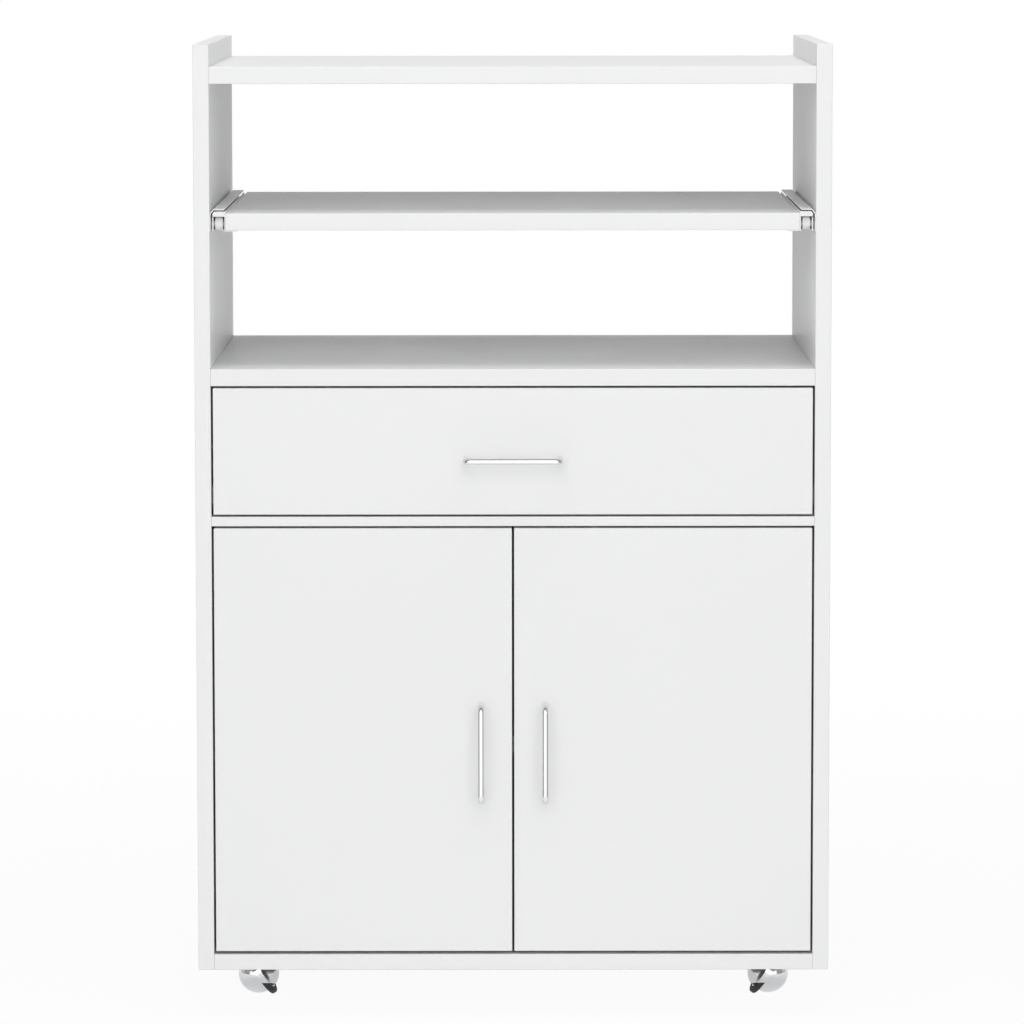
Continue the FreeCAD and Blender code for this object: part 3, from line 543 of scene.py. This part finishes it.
def bow(feet, along):
    """Path of a handle from foot to foot: straight leg, quarter arc, straight grip."""
    middle = (np.asarray(feet[0]) + np.asarray(feet[1])) / 2
    half = np.linalg.norm(np.asarray(feet[1]) - np.asarray(feet[0])) / 2
    reach = REACH - WIRE_R
    turn = np.linspace(0, np.pi / 2, 11)
    leg = np.linspace(0, reach - BEND_R, 4)[:-1]
    out = np.concatenate([leg, reach - BEND_R * (1 - np.sin(turn))])
    sideways = np.concatenate([np.full(3, half), half - BEND_R * (1 - np.cos(turn))])
    grip = np.linspace(-1, 1, 14)[1:-1] * sideways[-1]
    sideways = np.concatenate([-sideways, grip, sideways[::-1]])
    out = np.concatenate([out, np.full(12, out[-1]), out[::-1]])
    return middle + sideways[:, None] * np.asarray(along, float) + out[:, None] * np.array([0.0, -1.0, 0.0])


def satin_chrome():
    """Satin chromed wire: bright metal with a fine grain drawn along the wire."""
    made, tree, shader, place = material("satin_chrome", Metallic=1.0, Anisotropic=0.3)
    along = node(tree, "ShaderNodeUVMap", uv_map="along").outputs[0]
    drawn = node(tree, "ShaderNodeMapping", [("Vector", along), ("Scale", (14000.0, 260.0, 1.0))]).outputs[0]
    grain = noise(tree, drawn, 1.0, Detail=2.0)
    smear = use(tree, handled, Vector=place, Scale=70.0)["Smear"]
    tone = mixed(tree, grain, (0.72, 0.72, 0.72), (0.78, 0.78, 0.78))
    surfaced(tree, shader, tone, (smear, 0.08, 0.12), grain, 0.04, 0.00001)
    return made


SATIN = satin_chrome()


def handle(name, body, along, across):
    """The bow that stands for a CAD handle, between the same two feet."""
    low, high = corners(name)
    middle = (low + high) / 2
    middle[1] = FACE
    step = np.asarray(along, float) * HALF_CENTRES
    make(name + "_bow", body, SATIN,
         [wire(bow((middle - step, middle + step), along), across, WIRE_R)], stands_for=(name,))
    return middle - step, middle + step


drawer_feet = handle("drawer_handle", "drawer", (1, 0, 0), (0, 0, 1))
door_feet = {side: handle("door_handle_" + side, "door_" + side, (0, 0, 1), (1, 0, 0))
             for side in ("left", "right")}

# ============================================================ screws
# Pan head screws with a cross recess, pressed steel, zinc plated.


def pan_head(centre, way, radius, height):
    """A screw head as a height field over a disc: height * (1 - 0.55 (r / R)^4), less a cross
    recess of two slots 0.6 of the height deep that end at 0.55 R; the rim is carried down to
    the seat."""
    way = np.asarray(way, float)
    one, two = square_to(way)
    turn = np.linspace(0, 2 * np.pi, 33)
    r = np.array([0.0, 0.14, 0.22, 0.34, 0.5, 0.6, 0.75, 0.9, 1.0, 1.0, 0.0])
    x, y = r[:, None] * np.cos(turn), r[:, None] * np.sin(turn)
    slot = (np.minimum(np.abs(x), np.abs(y)) < 0.13) & (r[:, None] < 0.55)
    lift = height * (1 - 0.55 * r[:, None] ** 4) - 0.6 * height * slot
    lift[-2:] = 0.0
    points = np.asarray(centre, float) + radius * (x[..., None] * one + y[..., None] * two)
    return points + lift[..., None] * way, grid(11, 33)


FRONT_THICK = 0.015
back_of_front = FACE + FRONT_THICK
for name, body, feet in [("drawer_handle", "drawer", drawer_feet)] + [
        ("door_handle_" + side, "door_" + side, door_feet[side]) for side in ("left", "right")]:
    make(name + "_screw_heads", body, ZINC,
         [pan_head((foot[0], back_of_front, foot[2]), (0, 1, 0), 4.0 * MM, 2.2 * MM) for foot in feet])

RAIL_SCREW_X = 0.284      # out from the middle
RUNNER_SCREW_X = 0.265
RAIL_SCREWS = (0.037, 0.165, 0.325)    # back from the slide's front
RUNNER_SCREWS = (0.045, 0.172, 0.300)
for slide, front, datum in (("tray", FACE, 0.7665), ("drawer", -0.169, 0.507)):
    rail_heads = []
    runner_heads = []
    for side, way in ((-1.0, 1.0), (1.0, -1.0)):
        rail_heads += [pan_head((side * RAIL_SCREW_X, front + y, datum - 0.0085), (way, 0, 0),
                                3.2 * MM, 1.2 * MM) for y in RAIL_SCREWS]
        runner_heads += [pan_head((side * RUNNER_SCREW_X, front + y, datum - 0.017), (0, 0, -1),
                                  3.4 * MM, 1.4 * MM) for y in RUNNER_SCREWS]
    make(slide + "_rail_screw_heads", "cabinet", ZINC, rail_heads)
    make(slide + "_runner_screw_heads", slide, ZINC, runner_heads)

# ============================================================ cam locks
# Zinc cams let into the boards grip the bolts in the side panels; only their faces show, under
# the upper boards and on the bottom board inside the cupboard.
CAM_X = 0.261
CAM_ROWS = (-0.136, 0.154)
cams = []
for name in ("top_board", "fixed_shelf", "divider_board", "bottom_board"):
    low, high = corners(name)
    level, way = (high[2], 1) if name == "bottom_board" else (low[2], -1)
    cams += [pan_head((side * CAM_X, y, level), (0, 0, way), 7.4 * MM, 0.4 * MM)
             for side in (-1, 1) for y in CAM_ROWS]
make("cam_faces", "cabinet", ZINC, cams)

# ============================================================ the doors
# Two inset doors, banded on all edges, each with two blind bores for its hinge cups.
CUP_IN = 0.0245    # a cup's middle, in from the side's inner face
CUP_X = INNER - CUP_IN
BORE_R = 17.5 * MM
BORE_DEPTH = 11.0 * MM
HINGE_LEVELS = (0.143, 0.3885)
for side, way in (("left", -1.0), ("right", 1.0)):
    bores = [((way * CUP_X, back_of_front, z), BORE_R, BORE_DEPTH) for z in HINGE_LEVELS]
    foil_board("door_" + side, "door_" + side, (1, 0, 1), 1, 1, bores)

# ============================================================ hinges
# Concealed cup hinges of nickel plated pressed steel. The cup sits in its bore in the door; a
# hooked link joins it to an arm that is clipped over a cast plate on the cabinet's side.
CUP_PIN = (12.8, 12.4)
ARM_PIN = (28.0, 22.0)
for name in ("hinge_arms", "hinge_plates"):
    dress(name, NICKEL)
    rounded(name, 0.3 * MM)


def sheet(outline, low, high, axes):
    """A flat piece of sheet metal: its outline at two places along its thickness, joined by
    four-cornered sides. The axes say where an outline's two numbers and the thickness go."""
    outline = np.asarray(outline, float)
    count = len(outline)
    points = np.empty((2 * count, 3))
    points[:, axes] = np.concatenate([np.insert(outline, 2, place, axis=1) for place in (low, high)])
    ring = np.arange(count)
    faces = np.stack([ring, np.roll(ring, -1), np.roll(ring, -1) + count, ring + count], -1).tolist()
    return points, faces + [ring[::-1].tolist(), (ring + count).tolist()]


def arc(centre, radius, start, end, steps=9):
    """Points of a circle's arc: centre + radius * (cos t, sin t)."""
    turn = np.radians(np.linspace(start, end, steps))
    return np.asarray(centre) + radius * np.stack([np.cos(turn), np.sin(turn)], -1)


def eased(corners_and_reach):
    """A path with its corners eased: at a corner, (1 - t)^2 * before + 2 t (1 - t) * corner +
    t^2 * after, where before and after lie a reach away along the two runs."""
    places = [np.asarray(place, float) for place, reach in corners_and_reach]
    path = [places[0][None]]
    t = np.linspace(0, 1, 9)[:, None]
    reaches = [reach for place, reach in corners_and_reach[1:]]
    for before, corner, after, reach in zip(places, places[1:], places[2:], reaches):
        start = corner + reach * (before - corner) / np.linalg.norm(before - corner)
        end = corner + reach * (after - corner) / np.linalg.norm(after - corner)
        path.append((1 - t) ** 2 * start + 2 * t * (1 - t) * corner + t ** 2 * end)
    return np.concatenate(path + [places[-1][None]])


def bar(path, half):
    """Outline of a flat bar that follows a path: the path moved out square to its run by the
    half width on one side, and back along the other."""
    run = np.gradient(path, axis=0)
    run /= np.linalg.norm(run, axis=1, keepdims=True)
    out = half * np.stack([-run[:, 1], run[:, 0]], -1)
    return np.concatenate([path + out, (path - out)[::-1]])


def on_side(part, way, level):
    """A hinge part drawn in mm for the left side, in from the side's face, back from the
    front and up from the hinge's middle, set in its place; mirrored for the right side."""
    points = np.asarray(part[0], float) * MM * np.array([way, 1.0, 1.0])
    return points + np.array([-way * INNER, FACE, level]), part[1]


# Outlines and places in mm. The pins' places are in from the side's face and back from the front.
CUP = [(0, 4), (16.1, 4), (16.9, 4.3), (17.3, 5), (17.3, 15), (18.4, 15), (18.7, 15.25), (18.6, 15.6),
       (18.2, 15.8), (17.4, 15.7), (16.8, 15.4), (16.5, 14.8), (16.5, 5.6), (15.9, 4.9), (15.3, 4.8),
       (0, 4.8)]
EYE = [(1.35, -4.2), (2.7, -4.2), (2.9, -4.0), (2.9, 4.0), (2.7, 4.2), (1.35, 4.2)]
PIN = [(0, -7.8), (1.0, -7.8), (1.2, -7.6), (1.2, 7.6), (1.0, 7.8), (0, 7.8)]
HOOK = [((13.43, 10.93), 0), ((14.6, 8.2), 1.6), ((20.0, 7.5), 1.6), ((27.4, 9.2), 2.4), ((27.93, 20.4), 0)]
HOOK_HALF = 1.7
LINK_HALF = 4.0
CUP_CENTRE = 24.5
EAR_FACES = (15.02, 15.76)
LUG_FACES = (6.3, 7.5)
cup_parts = [turned(CUP, (CUP_CENTRE, 0, 0), (0, 1, 0), 64), turned(PIN, (*CUP_PIN, 0), (0, 0, 1), 24)]
for up in (1.0, -1.0):
    ear = np.concatenate([[(-7, 17), (7, 17)], arc((3, 25), 4, 0, 90), arc((-3, 25), 4, 90, 180)])
    cup_parts.append(sheet(ear * (1, up) + (CUP_CENTRE, 0), *EAR_FACES, (0, 2, 1)))
    lug = np.concatenate([[(9.8, 4.4), (15.8, 4.4)], arc(CUP_PIN, 2.0, 0, 180)])
    cup_parts.append(sheet(lug, up * LUG_FACES[0], up * LUG_FACES[1], (0, 1, 2)))
link_parts = [sheet(bar(eased(HOOK), HOOK_HALF), -LINK_HALF, LINK_HALF, (0, 1, 2))]
link_parts += [turned(EYE, (*pin, 0), (0, 0, 1), 32) for pin in (CUP_PIN, ARM_PIN)]

EAR_SCREW_UP = 0.024
PLATE_SCREW_UP = 0.0165
ARM_SCREWS = ((0.047, 2.8), (0.066, 3.6))    # back from the front, radius of the head in mm
for side, way in (("left", 1.0), ("right", -1.0)):
    inner = -way * INNER
    for name, body, parts in (("hinge_cups_", "door_", cup_parts), ("hinge_links_", "link_", link_parts)):
        make(name + side + "_pressed", body + side, NICKEL,
             [on_side(part, way, level) for level in HINGE_LEVELS for part in parts],
             stands_for=(name + side,))
    ears = [pan_head((inner + way * CUP_IN, back_of_front + 0.0008, level + step), (0, 1, 0),
                     3.6 * MM, 1.6 * MM)
            for level in HINGE_LEVELS for step in (-EAR_SCREW_UP, EAR_SCREW_UP)]
    make("hinge_cup_screw_heads_" + side, "door_" + side, ZINC, ears)
    plates = [pan_head((inner + way * 0.003, FACE + 0.054, level + step), (way, 0, 0), 3.6 * MM, 1.8 * MM)
              for level in HINGE_LEVELS for step in (-PLATE_SCREW_UP, PLATE_SCREW_UP)]
    plates += [pan_head((inner + way * 0.0105, FACE + back, level), (way, 0, 0), size * MM, 1.6 * MM)
               for level in HINGE_LEVELS for back, size in ARM_SCREWS]
    make("hinge_plate_screw_heads_" + side, "cabinet", ZINC, plates)

# ============================================================ casters
# Ball casters: a chromed half ball carries a rubber tread and spins on a tilted axle inside a
# chromed hood, the other half of the ball, whose boss turns on a stem in the bottom board.
STEM_X = 0.241
BALL_X = 0.248
TRAIL = 0.024           # the ball's middle, behind the stem
TILT = math.radians(56.0)
BALL_Z = (25.0 * math.sin(TILT) - 1.2 * math.cos(TILT)) * MM
MOUTH_WAY = (0.0, -math.sin(math.radians(13.0)), -math.cos(math.radians(13.0)))
places = {end + "_" + side: (x, y) for end, y in (("front", -0.103), ("rear", 0.131))
          for side, x in (("left", -1.0), ("right", 1.0))}


def ball_line(radius, start, end, steps):
    """Points (r, a) of a ball's outline between two places along the axle."""
    angle = np.linspace(math.asin(start / radius), math.asin(end / radius), steps)
    return [(max(0.0, radius * math.cos(t)), radius * math.sin(t)) for t in angle]


def in_mm(outline):
    """An outline drawn in mm, in metres."""
    return [(r * MM, a * MM) for r, a in outline]


def trimmed(part, point, way):
    """A closed part cut off flat by a plane through a point, the side the way looks to taken
    away and the cut closed."""
    mesh = bpy.data.meshes.new("uncut")
    mesh.from_pydata(part[0].reshape(-1, 3).tolist(), [], [list(map(int, face)) for face in part[1]])
    bm = bmesh.new()
    bm.from_mesh(mesh)
    bpy.data.meshes.remove(mesh)
    bmesh.ops.remove_doubles(bm, verts=bm.verts, dist=1e-6)
    bmesh.ops.dissolve_degenerate(bm, edges=bm.edges, dist=1e-7)
    found = bmesh.ops.bisect_plane(bm, geom=bm.verts[:] + bm.edges[:] + bm.faces[:], plane_co=point,
                                   plane_no=way, clear_outer=True)
    rim = [e for e in found["geom_cut"] if isinstance(e, bmesh.types.BMEdge)]
    bmesh.ops.triangle_fill(bm, edges=rim, use_beauty=True)
    bm.verts.index_update()
    points = np.array([vert.co[:] for vert in bm.verts])
    faces = [[vert.index for vert in face.verts] for face in bm.faces]
    bm.free()
    return points, faces


def rubber():
    """Hard grey rubber: matt, faintly mottled, dusty where it has rolled."""
    made, tree, shader, place = material("tread_rubber", Specular_IOR_Level=0.4)
    mottle = noise(tree, place, 500.0, Detail=5.0)
    dust = use(tree, handled, Vector=place, Scale=120.0)["Smear"]
    dark = mixed(tree, mottle, (0.030, 0.030, 0.032), (0.060, 0.060, 0.062))
    dusty = mixed(tree, spread(tree, dust, 0.0, 0.3), dark, (0.13, 0.128, 0.125))
    surfaced(tree, shader, dusty, (mottle, 0.5, 0.7), mottle, 0.2, 0.0001)
    return made


CHROME = plated("bright_chrome", (0.72, 0.725, 0.735), 0.035, 0.06, 500.0)
RUBBER = rubber()
stems = []
for name, (side, y) in places.items():
    centre = (side * BALL_X, y + TRAIL, BALL_Z)
    axle = (-side * math.sin(TILT), 0.0, math.cos(TILT))
    dish = ball_line(19.45, -19.45, 0.0, 22) + [(19.45, 5.1), (19.1, 5.45), (18.4, 5.45), (18.0, 5.1)]
    dish += ball_line(18.0, 0.0, -16.0, 10) + [(6.5, -16.0), (6.5, 5.5), (6.2, 5.8), (3.3, 5.8), (3.06, 5.5),
                                               (3.06, -13.8), (0.0, -13.8)]
    make("caster_" + name + "_dish", "wheel_" + name, CHROME,
         [turned(in_mm(dish), centre, axle, 72)], stands_for=("caster_dish_" + name,))
    shoulder = np.linspace(0, np.pi / 2, 6)
    tyre = [(19.45, 0.0)] + [(23.1 + 1.8 * math.sin(t), 1.8 - 1.8 * math.cos(t)) for t in shoulder]
    tyre += [(24.9, 2.75)] + [(23.1 + 1.8 * math.cos(t), 3.7 + 1.8 * math.sin(t)) for t in shoulder]
    tyre += [(19.45, 5.5)]
    make("caster_" + name + "_tyre", "wheel_" + name, RUBBER,
         [turned(in_mm(tyre), centre, axle, 72)], stands_for=("caster_tread_" + name,), sharp=50.0)
    hood = ball_line(19.85, 8.2, 19.85, 20) + ball_line(18.4, 18.4, 6.2, 14)
    hood += [(25.6, 6.2), (25.75, 6.0), (25.75, 0.6), (26.0, 0.4), (26.5, 0.4), (26.8, 0.8), (26.8, 6.6),
             (26.2, 7.25), (19.4, 7.3)]
    shell = turned(in_mm(hood), centre, axle, 96)
    mouth = (centre[0], centre[1], BALL_Z - 10.8 * MM)
    for point, way in ((mouth, (0, 0, -1)), (mouth, MOUTH_WAY), ((0, 0, 0.044), (0, 0, 1))):
        shell = trimmed(shell, point, way)
    pin = turned(in_mm([(0, -13.5), (2.7, -13.5), (3.0, -13.2), (3.0, 18.6), (0, 18.6)]), centre, axle, 32)
    washer = turned(in_mm([(3.0, 6.3), (5.3, 6.3), (5.5, 6.6), (5.5, 17.4), (3.0, 17.4)]), centre, axle, 32)
    stem_x = side * STEM_X
    boss = turned(in_mm([(4.1, 31.0), (6.2, 31.0), (6.5, 31.4), (6.5, 42.9), (6.1, 43.4), (4.1, 43.4)]),
                  (stem_x, y, 0.0), (0, 0, 1), 48)
    make("caster_" + name + "_hood", "swivel_" + name, CHROME, [shell, pin, washer, boss],
         stands_for=("caster_hood_" + name,))
    stems.append(turned(in_mm([(0, 29.6), (4.6, 29.6), (5.0, 30.0), (5.0, 30.3), (4.7, 30.6), (4.0, 30.7),
                               (4.0, 43.8), (8.1, 43.8), (8.5, 44.1), (8.5, 45.0), (4.0, 45.0), (4.0, 56.5),
                               (3.5, 57.0), (0, 57.0)]), (stem_x, y, 0.0), (0, 0, 1), 36))
make("caster_stems_turned", "cabinet", ZINC, stems, stands_for=("caster_stems",))

# ============================================================ floor, light and camera
# A plain white sweep, a large soft light in front, a softer one overhead, a small one low
# behind, and a dim surround that is brighter in metal.


def seen_directly(tree):
    """1 for rays from the camera, in metal and through glass, 0 for the rest; and 1 for those in
    metal alone."""
    rays = node(tree, "ShaderNodeLightPath").outputs
    either = maths(tree, "MAXIMUM", rays["Is Camera Ray"], rays["Is Glossy Ray"])
    return maths(tree, "MAXIMUM", either, rays["Is Transmission Ray"]), rays["Is Glossy Ray"]


def floor_material():
    """White floor that shows white and still takes a faint shadow round the object: glow over
    a matt white, all glow from two and a half metres out. In metal the paper ends far in front
    and at a bearing to each side of the handles, and the room beyond it is dim."""
    made = bpy.data.materials.new("white_floor")
    made.use_nodes = True
    tree = made.node_tree
    tree.nodes.clear()
    place = node(tree, "ShaderNodeTexCoord").outputs["Object"]
    white = mixed(tree, noise(tree, place, 1.5), (0.80, 0.80, 0.80), (0.82, 0.82, 0.82))
    matt = node(tree, "ShaderNodeBsdfDiffuse", [("Color", white)])
    seen, glossy = seen_directly(tree)
    out = node(tree, "ShaderNodeVectorMath", [(0, place)], operation="LENGTH").outputs["Value"]
    far = ramp(tree, out, 0.5, spread(tree, glossy, 2.5, 1.4), spread(tree, glossy, 0.95, 0.50))
    where = parts_of(tree, place)
    from_handles = vector_maths(tree, "SUBTRACT", place, (0.0, -0.21, 0.0))
    bearing = parts_of(tree, vector_maths(tree, "NORMALIZE", from_handles))[0]
    sideways = ramp(tree, maths(tree, "ABSOLUTE", bearing), 0.80, 0.93)
    clear_of_cart = ramp(tree, maths(tree, "ABSOLUTE", where[0]), 0.6, 0.9)
    past_side = maths(tree, "MULTIPLY", sideways, clear_of_cart)
    past = maths(tree, "MAXIMUM", past_side, ramp(tree, where[1], -3.2, -3.9))
    dim = maths(tree, "MULTIPLY", past, glossy)
    level = spread(tree, dim, spread(tree, glossy, 1.0, 1.35), 0.2)
    glow = node(tree, "ShaderNodeEmission", [("Color", (1.0, 1.0, 1.0, 1.0)), ("Strength", level)])
    blend = node(tree, "ShaderNodeMixShader", [(0, maths(tree, "MULTIPLY", seen, far))])
    tree.links.new(matt.outputs[0], blend.inputs[1])
    tree.links.new(glow.outputs[0], blend.inputs[2])
    surface = tree.nodes.new("ShaderNodeOutputMaterial")
    tree.links.new(blend.outputs[0], surface.inputs["Surface"])
    return made


floor_mesh = bpy.data.meshes.new("floor")
floor_mesh.from_pydata([(-9, -9, 0), (9, -9, 0), (9, 9, 0), (-9, 9, 0)], [], [(0, 1, 2, 3)])
floor_mesh.materials.append(floor_material())
floor = bpy.data.objects.new("floor", floor_mesh)
bpy.context.scene.collection.objects.link(floor)


def soft_light(name, place, aim, size, power):
    """A square area light that looks at a point."""
    lamp = bpy.data.lights.new(name, "AREA")
    lamp.shape = "SQUARE"
    lamp.size = size
    lamp.energy = power
    thing = bpy.data.objects.new(name, lamp)
    thing.location = place
    thing.rotation_euler = (Vector(aim) - Vector(place)).to_track_quat("-Z", "Y").to_euler()
    bpy.context.scene.collection.objects.link(thing)
    return thing


soft_light("front_light", (0.0, -3.6, 1.3), (0.0, 0.0, 0.40), 3.2, 54.0)
soft_light("top_light", (0.0, -0.4, 3.4), (0.0, 0.0, 0.6), 2.4, 43.0).visible_glossy = False
soft_light("back_light", (0.0, 2.6, 0.30), (0.0, 0.2, 0.30), 1.5, 22.0).visible_glossy = False

world = bpy.data.worlds.new("surround")
world.use_nodes = True
tree = world.node_tree
tree.nodes.clear()
seen, glossy = seen_directly(tree)
towards = parts_of(tree, node(tree, "ShaderNodeTexCoord").outputs["Generated"])
behind = ramp(tree, towards[1], -0.3, 0.3)
wings = ramp(tree, towards[1], -0.72, -0.56, 1.5, 0.4)
paper = ramp(tree, towards[1], -0.1, 0.2)
room = node(tree, "ShaderNodeMix", [(0, paper), (2, wings), (3, 0.75)], data_type="FLOAT").outputs[0]
shown = node(tree, "ShaderNodeMix", [(0, glossy), (2, 1.0), (3, room)], data_type="FLOAT").outputs[0]
flank = ramp(tree, maths(tree, "ABSOLUTE", towards[0]), 0.55, 0.9, 0.0, 0.36)
above = ramp(tree, towards[2], 0.1, 0.6, 0.28, 0.62)
front_fill = maths(tree, "MULTIPLY", above, spread(tree, behind, 1.0, 0.05))
fill = maths(tree, "MULTIPLY_ADD", flank, spread(tree, behind, 1.0, 0.5), front_fill)
dim = node(tree, "ShaderNodeBackground", [("Color", (1, 1, 1, 1)), ("Strength", fill)])
bright = node(tree, "ShaderNodeBackground", [("Color", (1, 1, 1, 1)), ("Strength", shown)])
both = node(tree, "ShaderNodeMixShader", [(0, seen)])
tree.links.new(dim.outputs[0], both.inputs[1])
tree.links.new(bright.outputs[0], both.inputs[2])
out = tree.nodes.new("ShaderNodeOutputWorld")
tree.links.new(both.outputs[0], out.inputs["Surface"])
bpy.context.scene.world = world
bpy.context.scene.view_settings.view_transform = "Standard"

lens = bpy.data.cameras.new("camera")
lens.sensor_width = 36.0
lens.lens = 179.0
lens.shift_y = -0.1009
lens.clip_end = 50.0
camera = bpy.data.objects.new("camera", lens)
camera.location = (-0.0008, -4.966, 1.0372)
camera.rotation_euler = Euler((math.radians(90.0 - 5.439), 0.0, 0.0))
camera.rotation_euler.rotate_axis("Z", math.radians(-0.0512))
bpy.context.scene.collection.objects.link(camera)
bpy.context.scene.camera = camera
